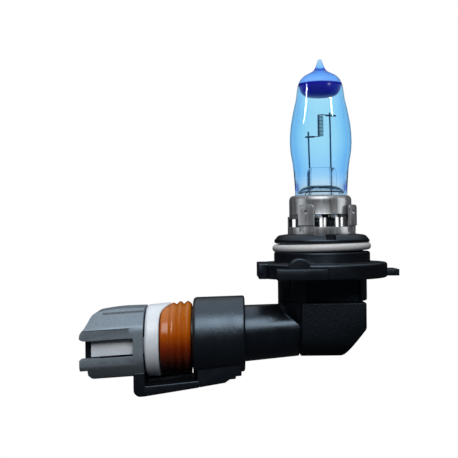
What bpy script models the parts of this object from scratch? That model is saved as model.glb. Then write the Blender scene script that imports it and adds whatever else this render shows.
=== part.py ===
"""Right-angle headlight bulb: quartz burner, steel holder, moulded base and sealed two-way plug.

Sizes are in millimetres and become metres in the helpers. The origin is where the bulb's axis
meets the top of the flange, +Z runs along the bulb to its tip, and the plug's arm leaves to -X.
The arm has a frame of its own: x points up, y is world Y and z runs outwards along the arm.
"""

import math

import bmesh
import bpy
from mathutils import Matrix, Vector

MM = 0.001
GAP = 0.3
ROUND_STEPS = 40
GLASS_STEPS = 24
WELD = 0.00001

# Base moulding
BORE_RADIUS = 3.7
BASE_TOP = 6.5
DISC_RADIUS = 10.95
DISC_CHAMFER = 1.0
GROOVE_RADIUS = 9.3
GROOVE_LOW = 2.5
GROOVE_HIGH = 4.7
COLLAR_RADIUS = 11.0
FLANGE_RADIUS = 14.85
FLANGE_THICKNESS = 3.4
COLUMN_RADIUS = 10.2
COLUMN_BOTTOM = -8.6
EDGE = 0.3
SIDE_LUG = ((13.0, -3.5, -3.1), (17.2, 3.5, -1.6))
REAR_LUG = ((-14.85, -7.0, -3.4), (-9.0, 7.0, 0.0))
FRONT_LUG = ((-11.3, -16.2, -3.2), (-0.5, -7.0, -0.9))
INDEX_RIB_RADIUS = 2.46
INDEX_RIB = ((-6.3, -14.2, -1.1), (-6.3, -9.5, -1.1))
RIM_NOTCH = ((-0.2, -12.0, 5.4), (2.0, -8.6, 7.5))
FRONT_RECESS = ((-4.6, -12.0, -9.5), (7.9, -5.2, -3.7))
SIDE_SLIT = ((-8.15, -9.0, -9.5), (-7.7, -5.9, -3.7))

# Seal ring in the base's groove
RING_SECTION = 0.85
RING_RADIUS = 10.45
RING_HEIGHT = 3.6

# Steel holder
CUP_INNER = 7.4
CUP_OUTER = 7.75
CUP_BOTTOM = BASE_TOP + GAP
CUP_FLOOR = 0.4
CUP_HOLE = 4.6
CUP_RIM = 8.1
STRAP_TOP = 13.0
STRAP_WIDTH = 3.9
WINDOW_ANGLES = (-78.0, 12.0, 192.0)
SLEEVE_RADIUS = 7.2
SLEEVE_WALL = 0.45
SLEEVE_BOTTOM = 10.9
SLEEVE_TOP = 15.35
SLEEVE_MOUTH = 6.25

# Quartz envelope, as radius and height down its outside and then up its inside
GLASS_BOTTOM = 13.0
GLASS_OUTSIDE = (
    (0.0, 46.8),
    (0.6, 46.4),
    (0.8, 45.4),
    (1.55, 44.0),
    (3.2, 43.1),
    (4.5, 42.0),
    (5.2, 40.5),
    (5.5, 38.2),
    (6.1, 35.6),
    (6.75, 31.9),
    (7.1, 28.0),
    (6.8, 24.4),
    (6.3, 21.0),
    (6.0, 17.0),
    (5.95, GLASS_BOTTOM),
)
GLASS_INSIDE = (
    (5.42, GLASS_BOTTOM),
    (5.44, 17.0),
    (5.55, 21.0),
    (5.8, 24.4),
    (6.1, 28.0),
    (5.75, 31.9),
    (5.1, 35.6),
    (4.5, 38.2),
    (4.1, 40.0),
    (2.9, 41.4),
    (0.0, 42.0),
)

# Pinch seal, foils and wires
PINCH_HALF_WIDTH = 3.9
PINCH_HALF_DEPTH = 1.7
PINCH_TOP = 21.8
PINCH_BOTTOM = 9.5
PINCH_CORNER = 1.3
WIRE_PASSAGE = 0.6
FOIL_PASSAGE = (1.2, 0.55)
SHORT_X = -2.6
LONG_X = 2.3
FOIL_TOP = 14.9
FOIL_BOTTOM = 10.8
FOIL_WIDTH = 1.9
FOIL_THICKNESS = 0.3
WIRE_RADIUS = 0.3
WIRE_BOTTOM = 15.2
WIRE_KNEE = 24.0
SHORT_WIRE_END = (-2.9, 29.9)
LONG_WIRE_END = (2.2, 34.3)
LEAD_RADIUS = 0.35
LEAD_BOTTOM = 2.0
LEAD_TOP = 10.5
LEAD_KNEES = (9.8, 8.6)
LEAD_OFFSET = 1.3

# Filament
COIL_RADIUS = 0.6
COIL_WIRE = 0.13
COIL_LOW = 29.1
COIL_HIGH = 33.9
COIL_TURNS = 8
COIL_POINTS = 8
COIL_LEG_DEPTH = -0.78
COIL_FOOT_X = -3.6
COIL_HEAD_X = 3.5

# Elbow and arm
ARM_DROP = 3.5
ARM_HEIGHT = -15.1
TUBE_BORE = 4.2
TUBE_START_RADIUS = 6.0
TUBE_END_RADIUS = 6.55
TUBE_START = 4.5
TUBE_END = 20.2
DRUM_HEIGHTS = (-8.9, -10.5, -13.5)
DRUM_FOOT_RADIUS = 8.2
COVER_LEFT = -5.6
COVER_RIGHT = 8.8
COVER_TOP = -8.9
COVER_BOTTOM = -20.9
COVER_HALF_DEPTH = 9.0
COVER_CHAMFER = ((4.0, COVER_BOTTOM), (COVER_RIGHT, -14.5))
COVER_ROUND = 5.0
COVER_BEVEL = 0.8
COVER_CAVITY = ((-8.0, -3.6, -18.6), (5.0, 3.6, -6.0))

# Plug body, along the arm
BARREL_START = 18.0
BARREL_END = 29.8
BARREL_START_RADIUS = 8.63
BARREL_END_RADIUS = 8.95
BARREL_CHAMFER = 0.9
SPIGOT_RADIUS = 6.95
NECK_RADIUS = 6.6
NECK_END = 39.1
TOWER_HALF_WIDTH = 4.4
TOWER_LOW = -4.9
TOWER_HIGH = 4.4
TOWER_END = 50.4
NOSE_HIGH = 3.5
NOSE_LOW = -4.6
NOSE_END = 54.2
CHANNEL_HALF_WIDTH = 1.7
CHANNEL_HALF_HEIGHT = 1.1
CHANNEL_END = 53.0
MOUTH_HALF_WIDTH = 1.5
MOUTH_HALF_HEIGHT = 0.6
BUTTRESS_OUTLINE = (
    (-4.5, 18.9),
    (-8.8, 18.9),
    (-8.8, 20.2),
    (-9.4, 20.2),
    (-9.4, 21.5),
    (-10.1, 22.6),
    (-10.75, 28.6),
    (-4.5, 28.6),
)
BUTTRESS_INNER_RADIUS = 7.8
PLUG_SEAL_START = 21.5
PLUG_SEAL_END = 26.5

# Terminals
TERMINAL_OFFSET = 2.5
TERMINAL_THICKNESS = 0.8
TERMINAL_HALF_WIDTH = 1.4
TERMINAL_TOP = 5.4
TERMINAL_END = 52.4
TERMINAL_BEND = 1.2
SOCKET_START = 45.4
SOCKET_HALF_HEIGHT = 0.8
SOCKET_HOLLOW = (0.5, 1.1)

# Interface seal, its retainer and the terminal lock
SEAL_START = 30.1
SEAL_END = 37.2
SEAL_BORE = 6.9
SEAL_VALLEY = 7.55
SEAL_RIBS = ((31.1, 8.35), (32.8, 8.42), (34.45, 8.2), (36.1, 7.9))
RIB_HALF_WIDTH = 0.75
RETAINER_START = 37.5
RETAINER_END = 40.5
RETAINER_RADIUS = 8.2
RETAINER_ARM = (-2.2, 1.3)
RETAINER_ARM_OUTER = 5.7
RETAINER_ARM_END = 52.0
LOCK_START = 40.8
LOCK_RADIUS = 7.95
LOCK_BORE = 6.9
LOCK_BORE_END = 50.8
LOCK_OUTLINE = (
    (8.4, LOCK_START),
    (8.4, 46.8),
    (7.5, 52.2),
    (4.2, 53.9),
    (2.6, 55.2),
    (-5.1, 55.2),
    (-5.1, 53.4),
    (-6.6, 53.4),
    (-7.6, 52.4),
    (-7.6, LOCK_START),
)
LOCK_SLOT = (-2.5, 1.6)
LOCK_SLOT_START = 43.0

# Latch
LATCH_HALF_WIDTH = 6.0
LATCH_HINGE = (-10.0, 28.9)
LATCH_CLEARANCE_RADIUS = 8.5
LATCH_OUTLINE = (
    (-9.2, 29.0),
    (-9.6, 40.6),
    (-6.5, 40.6),
    (-6.5, 43.2),
    (-10.9, 43.2),
    (-11.9, 42.2),
    (-11.9, 40.9),
    (-10.8, 29.0),
)
LATCH_WALL = ((-10.0, 5.2, 30.8), (-7.9, LATCH_HALF_WIDTH, 41.5))

parts = None
cutters = None


def clear_scene():
    for old in list(bpy.data.objects):
        bpy.data.objects.remove(old, do_unlink=True)


def new_collection(name):
    made = bpy.data.collections.new(name)
    bpy.context.scene.collection.children.link(made)
    return made


def material(name, colour, roughness, metallic=0.0, clear=0.0):
    made = bpy.data.materials.new(name)
    made.use_nodes = True
    shader = made.node_tree.nodes["Principled BSDF"]
    shader.inputs["Base Color"].default_value = (*colour, 1.0)
    shader.inputs["Roughness"].default_value = roughness
    shader.inputs["Metallic"].default_value = metallic
    shader.inputs["Transmission Weight"].default_value = clear
    return made


def add_object(name, data, parent=None):
    made = bpy.data.objects.new(name, data)
    parts.objects.link(made)
    made.parent = parent
    return made


def finish(piece, finish_material):
    piece.data.materials.clear()
    piece.data.materials.append(finish_material)
    return piece


def round_off(mesh):
    mesh.shade_smooth()
    mesh.set_sharp_from_angle(angle=math.radians(35))


def turned(name, profile, steps=ROUND_STEPS, closed=True, parent=None):
    """A profile of (radius, height) points turned about the local z axis."""
    mesh = bpy.data.meshes.new(name)
    points = [(radius * MM, 0.0, height * MM) for radius, height in profile]
    edges = [(i, i + 1) for i in range(len(points) - 1)]
    if closed:
        edges.append((len(points) - 1, 0))
    mesh.from_pydata(points, edges, [])
    piece = add_object(name, mesh, parent)
    screw = piece.modifiers.new("turn", "SCREW")
    screw.axis = "Z"
    screw.angle = 2 * math.pi
    screw.steps = steps
    screw.render_steps = steps
    screw.use_merge_vertices = True
    screw.merge_threshold = WELD
    screw.use_smooth_shade = True
    return piece


def block(name, low, high, parent=None, spin=0.0):
    """A box between two corners, turned by spin degrees about the local z axis."""
    mesh = bpy.data.meshes.new(name)
    shape = bmesh.new()
    size = Vector(high) - Vector(low)
    centre = (Vector(high) + Vector(low)) / 2
    place = Matrix.Rotation(math.radians(spin), 4, "Z") @ Matrix.Translation(centre * MM)
    stretch = Matrix.Diagonal((size.x * MM, size.y * MM, size.z * MM, 1.0))
    bmesh.ops.create_cube(shape, size=1.0, matrix=place @ stretch)
    shape.to_mesh(mesh)
    shape.free()
    return add_object(name, mesh, parent)


def plate(name, outline, half_width, parent=None):
    """An outline of (x, z) points given a thickness along y, as a welded mesh."""
    curve = bpy.data.curves.new(name, "CURVE")
    curve.dimensions = "2D"
    curve.fill_mode = "BOTH"
    curve.extrude = half_width * MM
    spline = curve.splines.new("POLY")
    spline.points.add(len(outline) - 1)
    for point, (x, z) in zip(spline.points, outline):
        point.co = (x * MM, z * MM, 0.0, 1.0)
    spline.use_cyclic_u = True
    guide = bpy.data.objects.new(name + "_outline", curve)
    cutters.objects.link(guide)
    bpy.context.view_layer.update()
    depsgraph = bpy.context.evaluated_depsgraph_get()
    mesh = bpy.data.meshes.new_from_object(guide.evaluated_get(depsgraph), depsgraph=depsgraph)
    bpy.data.objects.remove(guide, do_unlink=True)
    shape = bmesh.new()
    shape.from_mesh(mesh)
    bmesh.ops.remove_doubles(shape, verts=shape.verts, dist=WELD)
    bmesh.ops.transform(shape, matrix=Matrix.Rotation(math.radians(90), 4, "X"), verts=shape.verts)
    bmesh.ops.recalc_face_normals(shape, faces=shape.faces)
    shape.to_mesh(mesh)
    shape.free()
    mesh.name = name
    return add_object(name, mesh, parent)


def cylinder(name, radius, start, end, axis="Z", parent=None, steps=ROUND_STEPS):
    """A closed cylinder between two points, its axis along local Z or Y."""
    mesh = bpy.data.meshes.new(name)
    shape = bmesh.new()
    turn = Matrix.Rotation(math.radians(90), 4, "X") if axis == "Y" else Matrix.Identity(4)
    middle = (Vector(start) + Vector(end)) / 2
    bmesh.ops.create_cone(
        shape,
        cap_ends=True,
        segments=steps,
        radius1=radius * MM,
        radius2=radius * MM,
        depth=(Vector(end) - Vector(start)).length * MM,
        matrix=Matrix.Translation(middle * MM) @ turn,
    )
    shape.to_mesh(mesh)
    shape.free()
    return add_object(name, mesh, parent)


def rod(name, points, radius, parent=None):
    """A round wire through the given points."""
    curve = bpy.data.curves.new(name, "CURVE")
    curve.dimensions = "3D"
    curve.bevel_depth = radius * MM
    curve.bevel_resolution = 2
    curve.use_fill_caps = True
    spline = curve.splines.new("POLY")
    spline.points.add(len(points) - 1)
    for point, place in zip(spline.points, points):
        point.co = (*(Vector(place) * MM), 1.0)
    return add_object(name, curve, parent)


def combine(piece, tool, operation):
    """Cuts, joins or intersects a piece with a tool, which moves to the cutters' collection."""
    change = piece.modifiers.new(operation.lower(), "BOOLEAN")
    change.operation = operation
    change.solver = "EXACT"
    change.object = tool
    parts.objects.unlink(tool)
    cutters.objects.link(tool)
    tool.hide_render = True
    tool.display_type = "WIRE"


def cut(piece, *tools):
    for tool in tools:
        combine(piece, tool, "DIFFERENCE")


def join(piece, *tools):
    for tool in tools:
        combine(piece, tool, "UNION")


def smooth_line(points, pieces=2):
    """A Catmull-Rom curve through (radius, height) points."""
    places = [Vector(point) for point in (points[0], *points, points[-1])]
    line = []
    for p0, p1, p2, p3 in zip(places, places[1:], places[2:], places[3:]):
        for i in range(pieces):
            t = i / pieces
            bend = (2 * p0 - 5 * p1 + 4 * p2 - p3) * t**2 + (3 * p1 - p0 - 3 * p2 + p3) * t**3
            line.append(tuple((2 * p1 + (p2 - p0) * t + bend) / 2))
    line.append(points[-1])
    return line


def arc(centre, radius, start, end, pieces=4):
    """Points on a circle from one angle in degrees to another."""
    angles = [math.radians(start + (end - start) * i / pieces) for i in range(pieces + 1)]
    return [(centre[0] + radius * math.cos(a), centre[1] + radius * math.sin(a)) for a in angles]


def ribbon(line, thickness):
    """The outline of a strip of even thickness along a line, with mitred corners."""
    sides = ([], [])
    for i, here in enumerate(line):
        here = Vector(here)
        before = (here - Vector(line[i - 1])).normalized() if i else None
        after = (Vector(line[i + 1]) - here).normalized() if i + 1 < len(line) else None
        before = before or after
        after = after or before
        normal = (before.orthogonal() + after.orthogonal()).normalized()
        reach = thickness / 2 / normal.dot(before.orthogonal())
        sides[0].append(tuple(here + normal * reach))
        sides[1].append(tuple(here - normal * reach))
    return sides[0] + sides[1][::-1]


def arm_frame():
    """An empty on the arm's axis: local z runs outwards along the arm and local x points up."""
    frame = bpy.data.objects.new("arm_axis", None)
    parts.objects.link(frame)
    frame.location = (0.0, 0.0, ARM_HEIGHT * MM)
    frame.rotation_euler = (0.0, -math.radians(90 + ARM_DROP), 0.0)
    return frame


def arm_point(along, up):
    """The world (x, z) of a place on the arm, along it and above its axis."""
    drop = math.radians(ARM_DROP)
    x = -along * math.cos(drop) - up * math.sin(drop)
    return x, ARM_HEIGHT - along * math.sin(drop) + up * math.cos(drop)


def base_housing(black):
    """Top disc, ring groove, collar, flange with its lugs and the hollow column."""
    profile = [
        (DISC_RADIUS - DISC_CHAMFER, BASE_TOP),
        (DISC_RADIUS, BASE_TOP - DISC_CHAMFER),
        (DISC_RADIUS, GROOVE_HIGH + EDGE),
        (DISC_RADIUS - EDGE, GROOVE_HIGH),
        (GROOVE_RADIUS, GROOVE_HIGH),
        (GROOVE_RADIUS, GROOVE_LOW),
        (COLLAR_RADIUS - EDGE, GROOVE_LOW),
        (COLLAR_RADIUS, GROOVE_LOW - EDGE),
        (COLLAR_RADIUS, 0.0),
        (FLANGE_RADIUS - EDGE, 0.0),
        (FLANGE_RADIUS, -EDGE),
        (FLANGE_RADIUS, EDGE - FLANGE_THICKNESS),
        (FLANGE_RADIUS - EDGE, -FLANGE_THICKNESS),
        (COLUMN_RADIUS, -FLANGE_THICKNESS),
        (COLUMN_RADIUS, COLUMN_BOTTOM),
        (BORE_RADIUS, COLUMN_BOTTOM),
        (BORE_RADIUS, BASE_TOP),
    ]
    housing = turned("base_housing", profile)
    for name, corners in (("side_lug", SIDE_LUG), ("rear_lug", REAR_LUG), ("front_lug", FRONT_LUG)):
        join(housing, block(name, *corners))
    join(housing, cylinder("index_rib", INDEX_RIB_RADIUS, *INDEX_RIB, "Y"))
    cut(housing, block("rim_notch", *RIM_NOTCH))
    cut(housing, block("front_recess", *FRONT_RECESS), block("side_slit", *SIDE_SLIT))
    return finish(housing, black)


def seal_ring(silicone):
    bpy.ops.mesh.primitive_torus_add(
        major_segments=ROUND_STEPS,
        minor_segments=10,
        major_radius=RING_RADIUS * MM,
        minor_radius=RING_SECTION * MM,
        location=(0.0, 0.0, RING_HEIGHT * MM),
    )
    ring = bpy.context.object
    ring.name = "seal_ring"
    for home in list(ring.users_collection):
        home.objects.unlink(ring)
    parts.objects.link(ring)
    round_off(ring.data)
    return finish(ring, silicone)


def burner_cup(steel):
    """The lower holder: a shallow cup whose wall rises in two front straps and a broad rear one."""
    profile = [
        (CUP_OUTER, STRAP_TOP),
        (CUP_OUTER, CUP_BOTTOM),
        (CUP_HOLE, CUP_BOTTOM),
        (CUP_HOLE, CUP_BOTTOM + CUP_FLOOR),
        (CUP_INNER, CUP_BOTTOM + CUP_FLOOR),
        (CUP_INNER, STRAP_TOP),
    ]
    cup = turned("burner_cup", profile)
    middle = (CUP_INNER + CUP_OUTER) / 2
    half_angle = math.radians(45) - math.asin(STRAP_WIDTH / 2 / middle)
    half_window = middle * math.sin(half_angle)
    for i, angle in enumerate(WINDOW_ANGLES):
        low = (CUP_HOLE, -half_window, CUP_RIM)
        high = (CUP_OUTER + 1.0, half_window, STRAP_TOP + 1.0)
        cut(cup, block(f"strap_window_{i + 1}", low, high, spin=angle))
    return finish(cup, steel)


def burner_sleeve(steel):
    """The upper holder: a band round the quartz with a domed shoulder."""
    dome = SLEEVE_RADIUS - SLEEVE_MOUTH
    centre = (SLEEVE_RADIUS - dome, SLEEVE_TOP - dome)
    outside = arc(centre, dome, 90, 0)
    inside = arc(centre, dome - SLEEVE_WALL, 0, 90)
    profile = outside + [(SLEEVE_RADIUS, SLEEVE_BOTTOM)]
    profile += [(SLEEVE_RADIUS - SLEEVE_WALL, SLEEVE_BOTTOM)] + inside
    return finish(turned("burner_sleeve", profile), steel)


def glass_envelope(blue_quartz):
    profile = smooth_line(GLASS_OUTSIDE) + smooth_line(GLASS_INSIDE)
    envelope = turned("glass_envelope", profile, GLASS_STEPS, closed=False)
    return finish(envelope, blue_quartz)


def pinch_seal(quartz):
    """The flat foot of the burner, with a passage for each lead that holds its foil."""
    inner, top = PINCH_HALF_WIDTH - PINCH_CORNER, PINCH_TOP - PINCH_CORNER
    outline = arc((inner, top), PINCH_CORNER, 0, 90) + arc((-inner, top), PINCH_CORNER, 90, 180)
    outline += [(-PINCH_HALF_WIDTH, PINCH_BOTTOM), (PINCH_HALF_WIDTH, PINCH_BOTTOM)]
    pinch = plate("pinch_seal", outline, PINCH_HALF_DEPTH)
    half_width, half_depth = FOIL_PASSAGE
    for name, x in (("short", SHORT_X), ("long", LONG_X)):
        start, end = (x, 0.0, FOIL_TOP - GAP), (x, 0.0, PINCH_TOP + 1.0)
        low = (x - half_width, -half_depth, PINCH_BOTTOM - 1.0)
        high = (x + half_width, half_depth, FOIL_TOP + GAP)
        cut(pinch, cylinder(f"{name}_bore", WIRE_PASSAGE, start, end, steps=16))
        cut(pinch, block(f"{name}_pocket", low, high))
    return finish(pinch, quartz)


def foils_and_leads(metal, nickel):
    """For each side the wire in the bulb, the foil in the pinch and the lead below it."""
    sides = (
        ("short", SHORT_X, SHORT_WIRE_END, -LEAD_OFFSET),
        ("long", LONG_X, LONG_WIRE_END, LEAD_OFFSET),
    )
    upper_knee, lower_knee = LEAD_KNEES
    for side, x, (end_x, end_height), foot_x in sides:
        wire = [(x, 0.0, WIRE_BOTTOM), (x, 0.0, WIRE_KNEE), (end_x, 0.0, end_height)]
        finish(rod(f"support_wire_{side}", wire, WIRE_RADIUS), metal)
        low = (x - FOIL_WIDTH / 2, -FOIL_THICKNESS / 2, FOIL_BOTTOM)
        high = (x + FOIL_WIDTH / 2, FOIL_THICKNESS / 2, FOIL_TOP)
        finish(block(f"sealing_foil_{side}", low, high), metal)
        lead = [(x, 0.0, LEAD_TOP), (x, 0.0, upper_knee)]
        lead += [(foot_x, 0.0, lower_knee), (foot_x, 0.0, LEAD_BOTTOM)]
        finish(rod(f"outer_lead_{side}", lead, LEAD_RADIUS), nickel)


def filament(tungsten):
    """An upright coil whose two tails cross its support wires."""
    count = COIL_TURNS * COIL_POINTS
    coil = []
    for i in range(count + 1):
        turn = -math.pi / 2 + 2 * math.pi * i / COIL_POINTS
        height = COIL_LOW + (COIL_HIGH - COIL_LOW) * i / count
        coil.append((COIL_RADIUS * math.cos(turn), COIL_RADIUS * math.sin(turn), height))
    low, high = COIL_LOW - 0.2, COIL_HIGH - 0.1
    foot = [(COIL_FOOT_X, COIL_LEG_DEPTH, low), (-COIL_RADIUS, COIL_LEG_DEPTH, low)]
    head = [(COIL_RADIUS, COIL_LEG_DEPTH, high), (COIL_HEAD_X, COIL_LEG_DEPTH, high - 0.2)]
    return finish(rod("filament", foot + coil + head, COIL_WIRE), tungsten)


def arm_tube(black, frame):
    """The tube from the elbow to the plug, under a short drum that carries on the column."""
    profile = [
        (TUBE_END_RADIUS, TUBE_END),
        (TUBE_START_RADIUS, TUBE_START),
        (TUBE_BORE, TUBE_START),
        (TUBE_BORE, TUBE_END),
    ]
    tube = turned("arm_tube", profile, parent=frame)
    top, waist, foot = DRUM_HEIGHTS
    drum_profile = [
        (0.0, top),
        (COLUMN_RADIUS, top),
        (COLUMN_RADIUS, waist),
        (DRUM_FOOT_RADIUS, foot),
        (0.0, foot),
    ]
    drum = turned("elbow_drum", drum_profile, closed=False)
    bore = cylinder("drum_bore", TUBE_BORE, (0, 0, 1.0), (0, 0, 13.0), parent=frame)
    cut(drum, bore)
    join(tube, drum)
    cut(tube, block("elbow_side", (COVER_LEFT - GAP, -12.0, -25.0), (12.0, 12.0, -5.0)))
    return finish(tube, black)


def elbow_cover(black):
    """The hollow corner piece: chamfered at the back, rounded under, open to the tube and base."""
    outline = [
        (COVER_LEFT, COVER_TOP),
        (COVER_LEFT, COVER_BOTTOM),
        *COVER_CHAMFER,
        (COVER_RIGHT, COVER_TOP),
    ]
    cover = plate("elbow_cover", outline, COVER_HALF_DEPTH)
    half = COVER_HALF_DEPTH - COVER_ROUND
    low = COVER_BOTTOM + COVER_ROUND
    section = arc((half, low), COVER_ROUND, -90, 0) + [(COVER_HALF_DEPTH, COVER_TOP + 1.0)]
    section += [(-x, z) for x, z in reversed(section)]
    tool = plate("cover_section", section, 14.0)
    tool.rotation_euler = (0.0, 0.0, math.radians(90))
    combine(cover, tool, "INTERSECT")
    edges = cover.modifiers.new("edges", "BEVEL")
    edges.width = COVER_BEVEL * MM
    edges.segments = 2
    edges.limit_method = "ANGLE"
    edges.angle_limit = math.radians(40)
    cut(cover, block("cover_cavity", *COVER_CAVITY))
    return finish(cover, black)


def connector_body(black, frame):
    """Barrel, neck for the seal and square tower with a channel for each terminal."""
    profile = [
        (NECK_RADIUS, NECK_END),
        (NECK_RADIUS, BARREL_END),
        (BARREL_END_RADIUS - BARREL_CHAMFER, BARREL_END),
        (BARREL_END_RADIUS, BARREL_END - BARREL_CHAMFER),
        (BARREL_START_RADIUS, BARREL_START + 0.5),
        (BARREL_START_RADIUS - 0.5, BARREL_START),
        (SPIGOT_RADIUS, BARREL_START),
        (SPIGOT_RADIUS, TUBE_END + GAP),
        (TUBE_BORE, TUBE_END + GAP),
        (TUBE_BORE, NECK_END),
    ]
    body = turned("connector_body", profile, parent=frame)
    tower = block(
        "tower",
        (TOWER_LOW, -TOWER_HALF_WIDTH, NECK_END - 1.0),
        (TOWER_HIGH, TOWER_HALF_WIDTH, TOWER_END),
        frame,
    )
    nose = block(
        "tower_nose",
        (NOSE_LOW, -TOWER_HALF_WIDTH + 0.2, TOWER_END - 1.0),
        (NOSE_HIGH, TOWER_HALF_WIDTH - 0.2, NOSE_END),
        frame,
    )
    buttress = plate("buttress", BUTTRESS_OUTLINE, LATCH_HALF_WIDTH, frame)
    hollow = (0, 0, BARREL_START - 1.0), (0, 0, BARREL_END + 1.0)
    cut(buttress, cylinder("buttress_hollow", BUTTRESS_INNER_RADIUS, *hollow, parent=frame))
    join(body, tower, nose, buttress)
    for name, side in (("upper", 1), ("lower", -1)):
        middle = side * TERMINAL_OFFSET
        channel = block(
            f"{name}_channel",
            (middle - CHANNEL_HALF_HEIGHT, -CHANNEL_HALF_WIDTH, NECK_END - 2.0),
            (middle + CHANNEL_HALF_HEIGHT, CHANNEL_HALF_WIDTH, CHANNEL_END),
            frame,
        )
        mouth = block(
            f"{name}_mouth",
            (middle - MOUTH_HALF_HEIGHT, -MOUTH_HALF_WIDTH, TERMINAL_END),
            (middle + MOUTH_HALF_HEIGHT, MOUTH_HALF_WIDTH, NOSE_END + 1.0),
            frame,
        )
        cut(body, channel, mouth)
    return finish(body, black)


def terminal_seal(silicone, frame):
    """A plug in the barrel's bore that the two terminals pass through."""
    start, end = (0, 0, PLUG_SEAL_START), (0, 0, PLUG_SEAL_END)
    plug = cylinder("terminal_seal", TUBE_BORE - GAP, start, end, parent=frame, steps=24)
    for name, side in (("upper", 1), ("lower", -1)):
        middle = side * TERMINAL_OFFSET
        half = TERMINAL_THICKNESS / 2 + GAP
        low = (middle - half, -CHANNEL_HALF_WIDTH, PLUG_SEAL_START - 1.0)
        high = (middle + half, CHANNEL_HALF_WIDTH, PLUG_SEAL_END + 1.0)
        cut(plug, block(f"{name}_slit", low, high, frame))
    return finish(plug, silicone)


def terminals(tinned, frame):
    """Two bent strips from the burner's leads to a socket each in the plug's nose."""
    drop = math.radians(ARM_DROP)
    hollow_height, hollow_width = SOCKET_HOLLOW
    for name, side in (("upper", 1), ("lower", -1)):
        x = -side * TERMINAL_OFFSET
        up = side * TERMINAL_OFFSET
        corner_along = -(x + up * math.sin(drop)) / math.cos(drop)
        corner_height = arm_point(corner_along, up)[1]
        line = [
            (x, TERMINAL_TOP),
            (x, corner_height + TERMINAL_BEND),
            arm_point(corner_along + TERMINAL_BEND, up),
            arm_point(TERMINAL_END, up),
        ]
        strip = plate(f"terminal_{name}", ribbon(line, TERMINAL_THICKNESS), TERMINAL_HALF_WIDTH)
        socket = block(
            f"{name}_socket",
            (up - SOCKET_HALF_HEIGHT, 0.02 - TERMINAL_HALF_WIDTH, SOCKET_START),
            (up + SOCKET_HALF_HEIGHT, TERMINAL_HALF_WIDTH - 0.02, TERMINAL_END - 0.1),
            frame,
        )
        hollow = block(
            f"{name}_hollow",
            (up - hollow_height, -hollow_width, SOCKET_START + 1.0),
            (up + hollow_height, hollow_width, TERMINAL_END + 1.0),
            frame,
        )
        join(strip, socket)
        cut(strip, hollow)
        finish(strip, tinned)


def interface_seal(silicone, frame):
    """The ribbed outer seal on the neck."""
    profile = [(SEAL_VALLEY - 0.25, SEAL_END)]
    for middle, peak in reversed(SEAL_RIBS):
        profile.append((SEAL_VALLEY, middle + RIB_HALF_WIDTH))
        profile.append((peak, middle))
        profile.append((SEAL_VALLEY, middle - RIB_HALF_WIDTH))
    profile += [(SEAL_VALLEY, SEAL_START), (SEAL_BORE, SEAL_START), (SEAL_BORE, SEAL_END)]
    return finish(turned("interface_seal", profile, parent=frame), silicone)


def seal_retainer(white, frame):
    """The ring that holds the seal, with two arms along the tower's sides."""
    profile = [
        (RETAINER_RADIUS - 0.5, RETAINER_END),
        (RETAINER_RADIUS, RETAINER_END - 0.5),
        (RETAINER_RADIUS, RETAINER_START + EDGE),
        (RETAINER_RADIUS - EDGE, RETAINER_START),
        (SEAL_BORE, RETAINER_START),
        (SEAL_BORE, RETAINER_END - 1.0),
        (3.0, RETAINER_END - 1.0),
        (3.0, RETAINER_END),
    ]
    ring = turned("seal_retainer", profile, parent=frame)
    opening = block(
        "tower_opening",
        (TOWER_LOW - GAP, -TOWER_HALF_WIDTH - GAP, 35.0),
        (TOWER_HIGH + GAP, TOWER_HALF_WIDTH + GAP, 45.0),
        frame,
    )
    cut(ring, opening)
    arm_low, arm_high = RETAINER_ARM
    near, far = TOWER_HALF_WIDTH + GAP, RETAINER_ARM_OUTER
    for name, low_y, high_y in (("front", -far, -near), ("back", near, far)):
        low = (arm_low, low_y, RETAINER_END - 0.8)
        high = (arm_high, high_y, RETAINER_ARM_END)
        join(ring, block(f"{name}_arm", low, high, frame))
    return finish(ring, white)


def terminal_lock(grey, frame):
    """The sliding nose shell: a round sleeve cut to its side outline, with a slot in each side."""
    shell = plate("terminal_lock", LOCK_OUTLINE, 12.0, frame)
    barrel = cylinder("lock_round", LOCK_RADIUS, (0, 0, 38.0), (0, 0, 60.0), parent=frame)
    combine(shell, barrel, "INTERSECT")
    bore = cylinder("lock_bore", LOCK_BORE, (0, 0, 36.0), (0, 0, LOCK_BORE_END), parent=frame)
    window = block(
        "lock_window",
        (NOSE_LOW - GAP, -TOWER_HALF_WIDTH - GAP, 50.0),
        (NOSE_HIGH + GAP, TOWER_HALF_WIDTH + GAP, 58.0),
        frame,
    )
    cut(shell, bore, window)
    slot_low, slot_high = LOCK_SLOT
    for name, low_y, high_y in (("front", -10.0, -4.0), ("back", 4.0, 10.0)):
        low = (slot_low, low_y, LOCK_SLOT_START)
        high = (slot_high, high_y, 58.0)
        cut(shell, block(f"{name}_slot", low, high, frame))
    return finish(shell, grey)


def latch_arm(black, frame):
    """The sprung arm under the seal, hooked at its free end, on an axis at its root."""
    hinge_up, hinge_along = LATCH_HINGE
    axis = bpy.data.objects.new("latch_hinge", None)
    parts.objects.link(axis)
    axis.parent = frame
    axis.location = (hinge_up * MM, 0.0, hinge_along * MM)
    outline = [(up - hinge_up, along - hinge_along) for up, along in LATCH_OUTLINE]
    arm = plate("latch_arm", outline, LATCH_HALF_WIDTH, axis)
    clearance = cylinder(
        "latch_clearance", LATCH_CLEARANCE_RADIUS, (0, 0, 28.0), (0, 0, 50.0), parent=frame
    )
    cut(arm, clearance)
    join(arm, block("latch_wall", *LATCH_WALL, frame))
    return finish(arm, black)


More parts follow.
